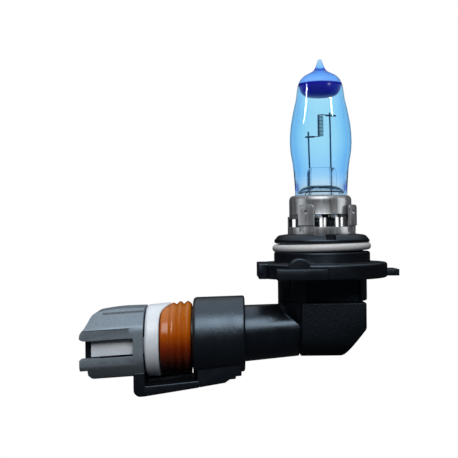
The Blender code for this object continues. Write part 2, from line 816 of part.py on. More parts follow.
def build():
    global parts, cutters
    clear_scene()
    parts = new_collection("headlight_bulb")
    cutters = new_collection("cutters")
    black = material("black_nylon", (0.02, 0.021, 0.025), 0.45)
    matte = material("matte_nylon", (0.03, 0.03, 0.034), 0.65)
    charcoal = material("charcoal_nylon", (0.045, 0.048, 0.055), 0.5)
    steel = material("stainless_steel", (0.55, 0.54, 0.52), 0.3, 1.0)
    blue_quartz = material("blue_quartz", (0.25, 0.5, 0.95), 0.05, 0.0, 0.8)
    quartz = material("clear_quartz", (0.85, 0.9, 0.95), 0.05, 0.0, 0.9)
    molybdenum = material("molybdenum", (0.3, 0.32, 0.36), 0.35, 1.0)
    nickel = material("nickel", (0.7, 0.68, 0.63), 0.3, 1.0)
    tungsten = material("tungsten", (0.25, 0.25, 0.28), 0.4, 1.0)
    tinned = material("tinned_brass", (0.75, 0.7, 0.55), 0.3, 1.0)
    pale = material("pale_silicone", (0.62, 0.63, 0.62), 0.5)
    amber = material("amber_silicone", (0.75, 0.22, 0.02), 0.3)
    white = material("white_nylon", (0.75, 0.77, 0.82), 0.4)
    grey = material("grey_nylon", (0.2, 0.22, 0.24), 0.5)

    frame = arm_frame()
    base_housing(black)
    seal_ring(pale)
    burner_cup(steel)
    burner_sleeve(steel)
    glass_envelope(blue_quartz)
    pinch_seal(quartz)
    foils_and_leads(molybdenum, nickel)
    filament(tungsten)
    arm_tube(black, frame)
    elbow_cover(matte)
    connector_body(charcoal, frame)
    terminal_seal(amber, frame)
    terminals(tinned, frame)
    interface_seal(amber, frame)
    seal_retainer(white, frame)
    terminal_lock(grey, frame)
    latch_arm(black, frame)


build()
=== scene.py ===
"""Looks of the right-angle headlight bulb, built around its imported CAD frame.

Sizes are in millimetres and become metres in the helpers. Pieces of the arm are made in the arm's
own frame, where x points up, y is world Y and z runs outwards along the arm.
"""

import math

import bmesh
import bpy
from mathutils import Matrix, Vector


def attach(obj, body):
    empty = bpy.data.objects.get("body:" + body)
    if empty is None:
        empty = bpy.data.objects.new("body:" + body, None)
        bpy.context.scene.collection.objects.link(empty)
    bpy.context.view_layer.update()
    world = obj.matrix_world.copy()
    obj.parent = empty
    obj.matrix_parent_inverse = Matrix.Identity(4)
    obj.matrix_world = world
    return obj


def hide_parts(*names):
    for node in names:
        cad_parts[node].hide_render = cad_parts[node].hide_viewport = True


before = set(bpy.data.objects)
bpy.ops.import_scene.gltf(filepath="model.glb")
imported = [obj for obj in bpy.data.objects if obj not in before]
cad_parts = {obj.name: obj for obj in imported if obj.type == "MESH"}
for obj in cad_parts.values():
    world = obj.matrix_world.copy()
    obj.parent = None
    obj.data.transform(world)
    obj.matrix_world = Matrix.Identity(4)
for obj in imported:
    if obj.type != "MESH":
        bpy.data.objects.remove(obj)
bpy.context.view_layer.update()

MM = 0.001
STEPS = 128
FINE_STEPS = 160
WIRE_SIDES = 16

# The feet of the two support wires and the heads of the two leads.
SHORT_X = -2.6
LONG_X = 2.3

# The arm falls by so many degrees from the point where it meets the bulb's axis.
ARM_DROP = 3.5
ARM_HEIGHT = -15.1

# Places along the arm, then radii and widths across it.
BARREL_START = 18.0
BARREL_END = 29.8
NECK_END = 39.1
SEAL_START = 30.1
SEAL_END = 37.2
RETAINER_START = 37.5
RETAINER_END = 40.5
LOCK_START = 40.8
SLOT = (-2.5, 1.6)
SLOT_START = 43.0
SLOT_END = 58.0
NECK_RADIUS = 6.6
NECK_BORE = 4.2
INNER_RADIUS = 6.95
LATCH_HALF_WIDTH = 6.0
LATCH_ROOT = (-10.0, 28.9)

# Turns the arm's own frame into the world's; the shear keeps the faces across the arm upright.
ARM = Matrix(
    (
        (0.0, 0.0, -math.cos(math.radians(ARM_DROP)), 0.0),
        (0.0, 1.0, 0.0, 0.0),
        (1.0, 0.0, -math.sin(math.radians(ARM_DROP)), ARM_HEIGHT * MM),
        (0.0, 0.0, 0.0, 1.0),
    )
)

VIEW_CENTRE = (-21.35, 0.0, 7.85)
VIEW_DISTANCE = 190.0
VIEW_ROLL = 0.6
LENS = 64.7
SENSOR = 36.0

LIGHT_AIM = (-15.0, 0.0, 0.0)
FLOOR_HALF = 1500.0
FLOOR_HEIGHT = -60.0


# ---------------------------------------------------------------- shapes


def add_mesh(name, shape):
    bmesh.ops.recalc_face_normals(shape, faces=shape.faces)
    mesh = bpy.data.meshes.new(name)
    shape.to_mesh(mesh)
    shape.free()
    piece = bpy.data.objects.new(name, mesh)
    bpy.context.scene.collection.objects.link(piece)
    return piece


def lathe(name, profile, closed=True, steps=STEPS):
    """A profile of (radius, height) points turned about the local z axis."""
    shape = bmesh.new()
    rings = []
    for radius, height in profile:
        count = steps if radius > 1e-6 else 1
        ring = []
        for i in range(count):
            turn = 2 * math.pi * i / steps
            place = Vector((radius * math.cos(turn), radius * math.sin(turn), height))
            ring.append(shape.verts.new(place * MM))
        rings.append(ring)
    pairs = list(zip(rings, rings[1:]))
    if closed:
        pairs.append((rings[-1], rings[0]))
    for one, two in pairs:
        for i in range(steps):
            j = (i + 1) % steps
            corners = (one[i % len(one)], one[j % len(one)], two[j % len(two)], two[i % len(two)])
            corners = list(dict.fromkeys(corners))
            if len(corners) > 2:
                shape.faces.new(corners)
    return add_mesh(name, shape)


def plate(name, outline, low, high):
    """An outline of (x, z) points given a thickness along y."""
    shape = bmesh.new()
    corners = [shape.verts.new((x * MM, low * MM, z * MM)) for x, z in outline]
    face = shape.faces.new(corners)
    made = bmesh.ops.extrude_face_region(shape, geom=[face])["geom"]
    moved = [v for v in made if isinstance(v, bmesh.types.BMVert)]
    bmesh.ops.translate(shape, verts=moved, vec=(0.0, (high - low) * MM, 0.0))
    return add_mesh(name, shape)


def box(name, low, high):
    """A box between two corners."""
    shape = bmesh.new()
    size = (Vector(high) - Vector(low)) * MM
    place = Matrix.Translation((Vector(high) + Vector(low)) / 2 * MM)
    bmesh.ops.create_cube(shape, size=1.0, matrix=place @ Matrix.Diagonal((*size, 1.0)))
    return add_mesh(name, shape)


def rod(name, lines, radius, sides=WIRE_SIDES):
    """Round wires with domed ends, each through its own list of points, as one mesh."""
    shape = bmesh.new()
    for line in lines:
        points = [Vector(p) * MM for p in line]
        first = (points[1] - points[0]).normalized()
        last = (points[-1] - points[-2]).normalized()
        dome = radius * 0.6 * MM
        points = [points[0] - first * dome, *points, points[-1] + last * dome]
        across = first.orthogonal().normalized()
        rings = []
        for i, here in enumerate(points):
            ahead = points[min(i + 1, len(points) - 1)] - points[max(i - 1, 0)]
            ahead.normalize()
            across = (across - ahead * across.dot(ahead)).normalized()
            other = ahead.cross(across)
            end = i in (0, len(points) - 1)
            size = radius * (0.45 if end else 1.0) * MM
            turns = [2 * math.pi * k / sides for k in range(sides)]
            spots = [here + size * (across * math.cos(t) + other * math.sin(t)) for t in turns]
            rings.append([shape.verts.new(spot) for spot in spots])
        for one, two in zip(rings, rings[1:]):
            for k in range(sides):
                j = (k + 1) % sides
                shape.faces.new((one[k], one[j], two[j], two[k]))
        shape.faces.new(rings[0])
        shape.faces.new(rings[-1])
    return add_mesh(name, shape)


def torus(name, major, minor, height, sides=32):
    turns = [2 * math.pi * i / sides for i in range(sides)]
    return lathe(name, [(major + minor * math.cos(t), height + minor * math.sin(t)) for t in turns])


def curve(points, pieces=6):
    """A Catmull-Rom curve through (x, z) points."""
    places = [Vector(p) for p in (points[0], *points, points[-1])]
    line = []
    for p0, p1, p2, p3 in zip(places, places[1:], places[2:], places[3:]):
        for i in range(pieces):
            t = i / pieces
            bend = (2 * p0 - 5 * p1 + 4 * p2 - p3) * t**2 + (3 * p1 - p0 - 3 * p2 + p3) * t**3
            line.append(tuple((2 * p1 + (p2 - p0) * t + bend) / 2))
    line.append(tuple(points[-1]))
    return [(max(x, 0.0), z) for x, z in line]


def rounded(points, radius, pieces=4):
    """A closed outline with its corners rounded; radius is one number or one for each corner."""
    radii = radius if isinstance(radius, (list, tuple)) else [radius] * len(points)
    outline = []
    for i, corner in enumerate(points):
        here = Vector(corner)
        before = Vector(points[i - 1]) - here
        after = Vector(points[(i + 1) % len(points)]) - here
        reach = min(radii[i], before.length * 0.48, after.length * 0.48)
        if reach < 1e-4:
            outline.append(tuple(here))
            continue
        start = here + before.normalized() * reach
        end = here + after.normalized() * reach
        for k in range(pieces + 1):
            t = k / pieces
            outline.append(tuple(start * (1 - t) ** 2 + here * 2 * t * (1 - t) + end * t**2))
    return outline


def apply_modifiers(piece):
    bpy.context.view_layer.update()
    depsgraph = bpy.context.evaluated_depsgraph_get()
    mesh = bpy.data.meshes.new_from_object(piece.evaluated_get(depsgraph), depsgraph=depsgraph)
    piece.modifiers.clear()
    piece.data = mesh
    return piece


def change(piece, operation, *tools):
    for tool in tools:
        step = piece.modifiers.new("step", "BOOLEAN")
        step.operation = operation
        step.solver = "EXACT"
        step.object = tool
    apply_modifiers(piece)
    for tool in tools:
        bpy.data.objects.remove(tool, do_unlink=True)
    return piece


def cut(piece, *tools):
    return change(piece, "DIFFERENCE", *tools)


def join(piece, *tools):
    return change(piece, "UNION", *tools)


def keep(piece, *tools):
    return change(piece, "INTERSECT", *tools)


def soften(piece, width, segments=3, angle=40.0):
    """Rounds the piece's sharp edges."""
    step = piece.modifiers.new("soften", "BEVEL")
    step.width = width * MM
    step.segments = segments
    step.limit_method = "ANGLE"
    step.angle_limit = math.radians(angle)
    step.harden_normals = False
    return apply_modifiers(piece)


def move(piece, matrix):
    piece.data.transform(matrix)
    return piece


def shift(x=0.0, y=0.0, z=0.0):
    return Matrix.Translation((x * MM, y * MM, z * MM))


def spin(degrees, axis):
    return Matrix.Rotation(math.radians(degrees), 4, axis)


def merge(piece, other):
    """Adds another mesh's faces to the piece without a boolean."""
    shape = bmesh.new()
    shape.from_mesh(piece.data)
    shape.from_mesh(other.data)
    shape.to_mesh(piece.data)
    shape.free()
    bpy.data.objects.remove(other, do_unlink=True)
    return piece


def install(piece, body, finish, slot, *nodes, place=None, sharp=32.0):
    """Gives a piece its finish and smooth shading, its CAD body and what it replaces; slot is not
    used.
    """
    piece.data.materials.clear()
    piece.data.materials.append(finish)
    piece.data.shade_smooth()
    piece.data.set_sharp_from_angle(angle=math.radians(sharp))
    if place is not None:
        piece.data.transform(place)
    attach(piece, body)
    if nodes:
        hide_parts(*nodes)
    return piece


# ---------------------------------------------------------------- materials

EVEN = (1.0, 1.0, 1.0)
WHITE_TINT = (1.0, 1.0, 1.0)
BLUE_TINT = (0.62, 0.81, 1.0)
QUARTZ_IOR = 1.45

# The band of values that a noise texture mostly stays in.
NOISE_LOW = 0.3
NOISE_HIGH = 0.7


def new_material(name):
    made = bpy.data.materials.new(name)
    made.use_nodes = True
    return made, made.node_tree, made.node_tree.nodes["Principled BSDF"]


def noise(tree, scale, detail=3.0, stretch=EVEN):
    """Fine noise fixed to the piece; stretch below 1 on an axis draws it out along that axis."""
    coordinates = tree.nodes.new("ShaderNodeTexCoord")
    mapping = tree.nodes.new("ShaderNodeMapping")
    mapping.inputs["Scale"].default_value = stretch
    texture = tree.nodes.new("ShaderNodeTexNoise")
    texture.inputs["Scale"].default_value = scale
    texture.inputs["Detail"].default_value = detail
    tree.links.new(coordinates.outputs["Object"], mapping.inputs["Vector"])
    tree.links.new(mapping.outputs["Vector"], texture.inputs["Vector"])
    return texture.outputs["Fac"]


def colours(tree, value, stops, target):
    """A ramp of (position, colour) stops between a value and a colour socket."""
    ramp = tree.nodes.new("ShaderNodeValToRGB")
    points = ramp.color_ramp.elements
    points[0].position, points[0].color = stops[0][0], (*stops[0][1], 1.0)
    points[1].position, points[1].color = stops[-1][0], (*stops[-1][1], 1.0)
    for position, colour in stops[1:-1]:
        points.new(position).color = (*colour, 1.0)
    tree.links.new(value, ramp.inputs["Fac"])
    tree.links.new(ramp.outputs["Color"], target)


def values(tree, value, low, high, target):
    """Maps noise to numbers between low and high on a socket."""
    spread = tree.nodes.new("ShaderNodeMapRange")
    spread.inputs["From Min"].default_value = NOISE_LOW
    spread.inputs["From Max"].default_value = NOISE_HIGH
    spread.inputs["To Min"].default_value = low
    spread.inputs["To Max"].default_value = high
    tree.links.new(value, spread.inputs["Value"])
    tree.links.new(spread.outputs["Result"], target)


def bump(tree, value, strength, shader, depth=0.1):
    """A relief that is depth millimetres deep at full strength."""
    made = tree.nodes.new("ShaderNodeBump")
    made.inputs["Strength"].default_value = strength
    made.inputs["Distance"].default_value = depth * MM
    tree.links.new(value, made.inputs["Height"])
    tree.links.new(made.outputs["Normal"], shader.inputs["Normal"])


def along_axis(tree, axis, low, high):
    """0 to 1 between two heights, in millimetres, on one of the piece's own axes."""
    coordinates = tree.nodes.new("ShaderNodeTexCoord")
    split = tree.nodes.new("ShaderNodeSeparateXYZ")
    spread = tree.nodes.new("ShaderNodeMapRange")
    spread.inputs["From Min"].default_value = low * MM
    spread.inputs["From Max"].default_value = high * MM
    tree.links.new(coordinates.outputs["Object"], split.inputs["Vector"])
    tree.links.new(split.outputs[axis], spread.inputs["Value"])
    return spread.outputs["Result"]


def mottle(tree, fine, colour, spread, target):
    """The colour, darker and lighter by the share named spread."""
    dark, light = (tuple(min(c * f, 1.0) for c in colour) for f in (1 - spread, 1 + spread))
    colours(tree, fine, [(NOISE_LOW, dark), (NOISE_HIGH, light)], target)


def plastic(
    name, colour, roughness, grain, strength, spread, gloss=0.5, tint=WHITE_TINT, stretch=EVEN
):
    made, tree, shader = new_material(name)
    fine = noise(tree, grain, 3.0, stretch)
    mottle(tree, fine, colour, spread, shader.inputs["Base Color"])
    broad = noise(tree, grain / 6, 2.0, stretch)
    values(tree, broad, roughness - 0.04, roughness + 0.06, shader.inputs["Roughness"])
    bump(tree, fine, strength, shader)
    shader.inputs["Specular IOR Level"].default_value = gloss
    shader.inputs["Specular Tint"].default_value = (*tint, 1.0)
    return made


def metal(
    name, colour, roughness, grain=1500.0, strength=0.1, spread=0.15, metallic=1.0, stretch=EVEN
):
    made, tree, shader = new_material(name)
    fine = noise(tree, grain, 4.0, stretch)
    mottle(tree, fine, colour, spread, shader.inputs["Base Color"])
    values(tree, fine, roughness - 0.05, roughness + 0.08, shader.inputs["Roughness"])
    bump(tree, fine, strength, shader)
    shader.inputs["Metallic"].default_value = metallic
    return made


def quartz(name, roughness):
    """Clear quartz that still needs its colour."""
    made, tree, shader = new_material(name)
    shader.inputs["Roughness"].default_value = roughness
    shader.inputs["IOR"].default_value = QUARTZ_IOR
    shader.inputs["Transmission Weight"].default_value = 1.0
    return made, tree, shader


def edge_tint(tree, stops, blend=0.5):
    """A colour that changes from where a surface faces the eye to where it turns away."""
    weight = tree.nodes.new("ShaderNodeLayerWeight")
    weight.inputs["Blend"].default_value = blend
    mix = tree.nodes.new("ShaderNodeMix")
    mix.data_type = "RGBA"
    mix.blend_type = "MULTIPLY"
    mix.inputs["Factor"].default_value = 1.0
    colours(tree, weight.outputs["Facing"], stops, mix.inputs["B"])
    return mix


def blue_quartz():
    """Grey at the foot with a dark blue rim over it, cyan at the filament, deeper at the dome."""
    made, tree, shader = quartz("blue_quartz", 0.0)
    edge = edge_tint(
        tree,
        [
            (0.0, (1.0, 1.0, 1.0)),
            (0.12, (0.97, 0.99, 1.0)),
            (0.38, (0.78, 0.89, 1.0)),
            (0.75, (0.6, 0.76, 0.97)),
        ],
    )
    colours(
        tree,
        along_axis(tree, "Z", 14.0, 47.0),
        [
            (0.0, (0.35, 0.38, 0.42)),
            (0.03, (0.9, 0.9, 0.9)),
            (0.10, (0.9, 0.9, 0.9)),
            (0.14, (0.92, 0.95, 0.98)),
            (0.20, (0.80, 0.92, 1.0)),
            (0.42, (0.90, 1.0, 1.0)),
            (0.76, (0.86, 0.98, 1.0)),
            (0.84, (0.84, 0.94, 1.0)),
            (0.89, (0.80, 0.90, 1.0)),
            (1.0, (0.62, 0.78, 1.0)),
        ],
        edge.inputs["A"],
    )
    black, white = (0.0, 0.0, 0.0), (1.0, 1.0, 1.0)
    rim = edge_tint(tree, [(0.0, white), (0.45, white), (0.7, (0.04, 0.08, 0.55))])
    stops = [(0.0, black), (0.3, white), (0.6, white), (1.0, black)]
    colours(tree, along_axis(tree, "Z", 15.6, 19.2), stops, rim.inputs["Factor"])
    tree.links.new(edge.outputs["Result"], rim.inputs["A"])
    tree.links.new(rim.outputs["Result"], shader.inputs["Base Color"])
    shader.inputs["Specular Tint"].default_value = (0.35, 0.35, 0.35, 1.0)
    absorb = tree.nodes.new("ShaderNodeVolumeAbsorption")
    absorb.inputs["Color"].default_value = (0.0, 0.62, 0.93, 1.0)
    absorb.inputs["Density"].default_value = 540.0
    output = tree.nodes["Material Output"]
    tree.links.new(absorb.outputs["Volume"], output.inputs["Volume"])
    return made


def clear_quartz(name, rim):
    """Painted shade: dark towards its foot, where it sits in the holder's shade, and clear above
    it; rim is its colour where it turns away.
    """
    made, tree, shader = quartz(name, 0.02)
    fine = noise(tree, 400.0, 2.0)
    edge = edge_tint(tree, [(0.0, (1.0, 1.0, 1.0)), (0.25, (0.88, 0.93, 1.0)), (0.55, rim)])
    # painted shade: the dark low stops stand for the holder's shade on the quartz's foot
    stops = [
        (0.0, (0.1, 0.11, 0.12)),
        (0.5, (0.3, 0.33, 0.36)),
        (0.8, (0.93, 0.96, 0.99)),
        (1.0, (0.98, 0.99, 1.0)),
    ]
    colours(tree, along_axis(tree, "Z", 11.0, 16.0), stops, edge.inputs["A"])
    tree.links.new(edge.outputs["Result"], shader.inputs["Base Color"])
    bump(tree, fine, 0.15, shader, 0.3)
    return made


def dome_blue():
    """Light blue over the coating's top and navy round its side; the navy is painted shade, the
    coat as it looks unlit from inside the glass.
    """
    made, tree, shader = new_material("dome_coating")
    # painted shade: the navy stops below the top are the unlit look of the light blue coat
    stops = [
        (0.0, (0.002, 0.0, 0.28)),
        (0.40, (0.001, 0.0, 0.32)),
        (0.44, (0.3, 0.55, 1.0)),
        (1.0, (0.45, 0.7, 1.0)),
    ]
    colours(tree, along_axis(tree, "Z", 40.0, 42.4), stops, shader.inputs["Base Color"])
    bump(tree, noise(tree, 900.0, 2.0), 0.03, shader)
    shader.inputs["Roughness"].default_value = 0.35
    shader.inputs["Specular IOR Level"].default_value = 0.1
    return made


def amber_silicone():
    """Orange on its upper side and nearly black underneath, where the dark is painted shade."""
    made, tree, shader = new_material("amber_silicone")
    # painted shade: the colour falls to nearly black towards the bottom, where the seal is in shade
    colours(
        tree,
        along_axis(tree, "Z", -25.5, -8.7),
        [
            (0.0, (0.02, 0.012, 0.011)),
            (0.2, (0.055, 0.008, 0.003)),
            (0.42, (0.21, 0.022, 0.001)),
            (0.62, (0.42, 0.085, 0.001)),
            (1.0, (0.43, 0.125, 0.001)),
        ],
        shader.inputs["Base Color"],
    )
    fine = noise(tree, 900.0, 2.0)
    bump(tree, fine, 0.12, shader)
    values(tree, fine, 0.16, 0.28, shader.inputs["Roughness"])
    shader.inputs["Subsurface Weight"].default_value = 0.15
    shader.inputs["Subsurface Radius"].default_value = (1.0, 0.35, 0.1)
    shader.inputs["Subsurface Scale"].default_value = 0.0012
    return made


# Name, colour, roughness, grain, relief and mottling.
BLACK = plastic(
    "black_nylon", (0.004, 0.0045, 0.0065), 0.33, 1800.0, 0.2, 0.35, gloss=0.62, tint=BLUE_TINT
)
GLOSS_BLACK = plastic(
    "gloss_black_nylon", (0.003, 0.0035, 0.005), 0.27, 900.0, 0.2, 0.3, gloss=0.85, tint=BLUE_TINT
)
MATTE = plastic(
    "matte_nylon", (0.0016, 0.0019, 0.0028), 0.5, 2600.0, 0.9, 0.6, gloss=0.3, tint=BLUE_TINT
)
CHARCOAL = plastic(
    "charcoal_nylon",
    (0.003, 0.0035, 0.005),
    0.32,
    2200.0,
    0.45,
    0.3,
    gloss=1.0,
    tint=BLUE_TINT,
    stretch=(1.0, 0.5, 0.5),
)
GREY = plastic(
    "grey_nylon", (0.165, 0.195, 0.225), 0.38, 1800.0, 0.2, 0.14, gloss=1.1, tint=BLUE_TINT
)
WHITE = plastic("white_nylon", (0.7, 0.745, 0.8), 0.3, 900.0, 0.08, 0.04)
PALE = plastic("pale_silicone", (0.56, 0.57, 0.57), 0.45, 1200.0, 0.15, 0.06)
# the dome coat, with painted shade round its side
SHADED_DOME_COAT = dome_blue()
STEEL = metal(
    "stainless_steel",
    (0.31, 0.322, 0.335),
    0.33,
    1600.0,
    0.12,
    0.3,
    metallic=0.75,
    stretch=(1.0, 1.0, 0.12),
)
BRIGHT = metal("bright_steel", (0.92, 0.94, 0.95), 0.42, metallic=0.4)
WIRE = metal("molybdenum", (0.02, 0.07, 0.13), 0.45)
COIL = metal("tungsten", (0.02, 0.055, 0.12), 0.5)
TINNED = metal("tinned_brass", (0.72, 0.68, 0.55), 0.3)
# clear quartz with painted shade towards its foot
QUARTZ = clear_quartz("clear_quartz", (0.06, 0.2, 0.55))
FLOOR_QUARTZ = clear_quartz("floor_quartz", (0.78, 0.82, 0.86))
BLUE = blue_quartz()
# amber silicone with painted shade towards its underside
AMBER = amber_silicone()


# ---------------------------------------------------------------- burner


def make_glass():
    """The quartz envelope with its drawn tip, and the coating under its dome."""
    outside = curve(
        [
            (0.0, 46.78),
            (0.42, 46.6),
            (0.68, 45.8),
            (1.05, 44.9),
            (1.6, 44.05),
            (2.6, 43.45),
            (3.7, 42.85),
            (4.6, 41.9),
            (5.15, 40.6),
            (5.4, 39.0),
            (5.62, 37.4),
            (6.05, 35.6),
            (6.45, 33.6),
            (6.8, 31.6),
            (7.02, 29.4),
            (7.06, 27.2),
            (6.9, 25.2),
            (6.6, 23.4),
            (6.33, 21.4),
            (6.15, 19.0),
            (6.02, 16.8),
            (5.95, 13.3),
        ]
    )
    inside = curve(
        [
            (5.62, 13.2),
            (5.62, 16.8),
            (5.56, 19.0),
            (5.55, 21.4),
            (5.78, 23.4),
            (6.08, 25.2),
            (6.24, 27.2),
            (6.2, 29.4),
            (5.98, 31.6),
            (5.65, 33.6),
            (5.3, 35.6),
            (4.98, 37.4),
            (4.88, 39.0),
            (4.82, 40.6),
            (4.3, 41.7),
            (3.2, 42.15),
            (1.6, 42.45),
            (0.0, 42.5),
        ]
    )
    glass = lathe("glass_bulb", outside + inside, closed=False, steps=FINE_STEPS)
    install(glass, "housing", BLUE, "blue_quartz", "glass_envelope", sharp=60.0)
    top = curve([(0.0, 42.6), (1.6, 42.55), (3.3, 42.25), (4.4, 41.75), (4.88, 41.0)])
    bowl = curve([(4.9, 40.7), (4.8, 40.2), (4.4, 39.1), (3.7, 38.3), (2.4, 37.8), (0.0, 37.6)])
    install(lathe("dome_coating", top + bowl, closed=False), "housing", SHADED_DOME_COAT, "blue_quartz")


def make_pinch():
    """The flat clear foot that holds the wires, and the thin floor round it."""
    outline = [(-3.9, 9.6), (3.9, 9.6), (3.9, 15.4), (3.45, 16.8), (3.45, 21.9)]
    outline += [(-3.25, 21.9), (-3.25, 16.8), (-3.9, 15.4)]
    outline = rounded(outline, [0.5, 0.5, 0.8, 0.8, 1.4, 1.4, 0.8, 0.8])
    piece = soften(plate("pinch_foot", outline, -1.7, 1.7), 0.5)
    for x in (SHORT_X, LONG_X):
        cut(piece, box("pocket", (x - 1.1, -0.4, 9.0), (x + 1.1, 0.4, 15.1)))
        bore = lathe("bore", [(0.0, 14.5), (0.5, 14.5), (0.5, 23.0), (0.0, 23.0)], False, 24)
        cut(piece, move(bore, shift(x)))
    install(piece, "housing", QUARTZ, "clear_quartz", "pinch_seal")
    above = curve([(0.0, 17.9), (2.6, 17.75), (4.3, 17.2), (5.3, 16.2)])
    below = curve([(5.3, 15.9), (4.3, 16.8), (2.6, 17.35), (0.0, 17.5)])
    floor = lathe("burner_floor", above + below, closed=False)
    install(floor, "housing", FLOOR_QUARTZ, "clear_quartz")


def make_wires():
    """The two support wires, each leaning a little from its foot to its top."""
    short = [(SHORT_X, 0.0, 15.3), (SHORT_X, 0.0, 22.0), (-2.72, 0.0, 26.0), (-2.82, 0.0, 30.0)]
    long = [(LONG_X, 0.0, 15.3), (LONG_X, 0.0, 24.0), (2.25, 0.0, 30.0), (2.15, 0.0, 34.3)]
    for side, line in (("short", short), ("long", long)):
        piece = rod(f"lead_in_{side}", [line], 0.19)
        install(piece, "housing", WIRE, "molybdenum", f"support_wire_{side}")


def make_filament():
    """The upright coil with its two ends, and the bars that tie them to the wires."""
    turns, points, radius = 15, 20, 0.62
    coil = []
    for i in range(turns * points + 1):
        turn = -math.pi / 2 + 2 * math.pi * i / points
        height = 29.05 + 4.75 * i / (turns * points)
        coil.append((radius * math.cos(turn), radius * math.sin(turn), height))
    foot = [(-1.6, -0.66, 28.85), (-0.4, -0.66, 28.9)]
    head = [(0.5, -0.66, 33.8), (1.2, -0.66, 33.72)]
    piece = rod("coiled_filament", [foot + coil + head], 0.1, 8)
    bars = [
        [(-3.5, -0.48, 28.78), (-1.5, -0.52, 28.85)],
        [(1.2, -0.52, 33.66), (3.45, -0.48, 33.55)],
    ]
    merge(piece, rod("bars", bars, 0.2))
    install(piece, "housing", COIL, "tungsten", "filament")


def make_leads():
    """The bright hairpins in the holder's window, each with a clip beside it."""
    stands = {"short": (SHORT_X, -0.72, 0.14), "long": (LONG_X, 2.85, 3.95)}
    for side, (top_x, post_x, clip_x) in stands.items():
        line = [
            (top_x, 0.0, 10.6),
            (top_x, -0.5, 10.5),
            (post_x, -4.6, 10.5),
            (post_x, -5.5, 10.1),
            (post_x, -5.6, 7.9),
            (post_x, -4.6, 7.7),
            (post_x, -2.6, 7.6),
            (post_x, -2.4, 6.0),
        ]
        piece = rod(f"lead_out_{side}", [line], 0.42)
        middle = (post_x + clip_x) / 2
        clip = [(clip_x, -5.6, 10.1), (clip_x, -5.6, 7.9), (middle, -5.4, 7.7)]
        merge(piece, rod("clip", [clip], 0.3))
        install(piece, "housing", BRIGHT, "nickel", f"outer_lead_{side}")


# ---------------------------------------------------------------- steel holder


def make_sleeve():
    """The steel band round the quartz, with a short tab at its left."""
    outer, inner = 7.14, 6.8
    shoulder = curve([(6.2, 15.3), (6.6, 15.2), (6.92, 14.9), (7.1, 14.4), (outer, 13.9)], 3)
    profile = shoulder + [(outer, 11.15), (7.2, 11.0), (outer, 10.9), (inner, 10.9), (inner, 13.9)]
    profile += curve([(6.78, 14.3), (6.6, 14.65), (6.3, 14.9), (6.1, 15.0)], 3)
    sleeve = lathe("holder_sleeve", profile)
    tab = lathe("tab", [(outer, 12.0), (outer, 9.9), (inner, 9.9), (inner, 12.0)])
    keep(tab, box("span", (-9.0, -4.6, 9.0), (-4.0, 3.0, 13.0)))
    join(sleeve, soften(tab, 0.08, 2))
    move(sleeve, shift(-0.25))
    install(sleeve, "housing", STEEL, "stainless_steel", "burner_sleeve")


def make_strap(face, top):
    """A flat strap on the +Y side, with a weld dimple in its face and a root at its foot."""
    outline = [(-1.95, 8.35), (1.95, 8.35), (1.95, top), (-1.95, top)]
    strap = soften(plate("strap", rounded(outline, [0.2, 0.2, 0.9, 0.9], 6), 7.55, face), 0.2, 3)
    join(strap, plate("root", [(-1.85, 7.0), (1.85, 7.0), (1.85, 9.6), (-1.85, 9.6)], 7.47, 7.75))
    dimple = lathe("dimple", [(0.0, -0.35), (0.3, -0.2), (0.42, 0.0), (0.0, 0.3)], False, 24)
    return cut(strap, move(dimple, shift(0.0, face, 11.4) @ spin(-90.0, "X")))


def make_cup():
    """The steel cup: a low ring, a rear wall, a thin post at its left and two straps."""
    inner, outer, foot, rim, top = 7.45, 7.78, 6.45, 8.1, 13.1
    ring = [(outer, rim), (outer, foot), (4.7, foot), (4.7, 7.3), (inner, 7.3), (inner, rim)]
    cup = lathe("holder_cup", rounded(ring, 0.12, 3))
    wall = lathe("wall", [(outer, 13.3), (outer, 7.0), (inner, 7.0), (inner, 13.3)])
    rear = rounded([(-6.5, 6.9), (6.5, 6.9), (6.5, top), (-6.5, top)], [0, 0, 0.8, 0.8])
    keep(wall, move(plate("rear", rear, 1.5, 9.5), spin(-12.0, "Z")))
    join(cup, wall)
    soften(cup, 0.1, 2)
    post = lathe("post", [(7.76, 10.5), (7.76, 7.0), (7.47, 7.0), (7.47, 10.5)])
    join(cup, keep(post, box("span", (-8.0, 0.3, 6.9), (-6.4, 4.0, 11.0))))
    for angle in (-212.0, -123.0):
        join(cup, move(make_strap(8.05, top), spin(angle, "Z")))
    install(cup, "housing", STEEL, "stainless_steel", "burner_cup")


# ---------------------------------------------------------------- base


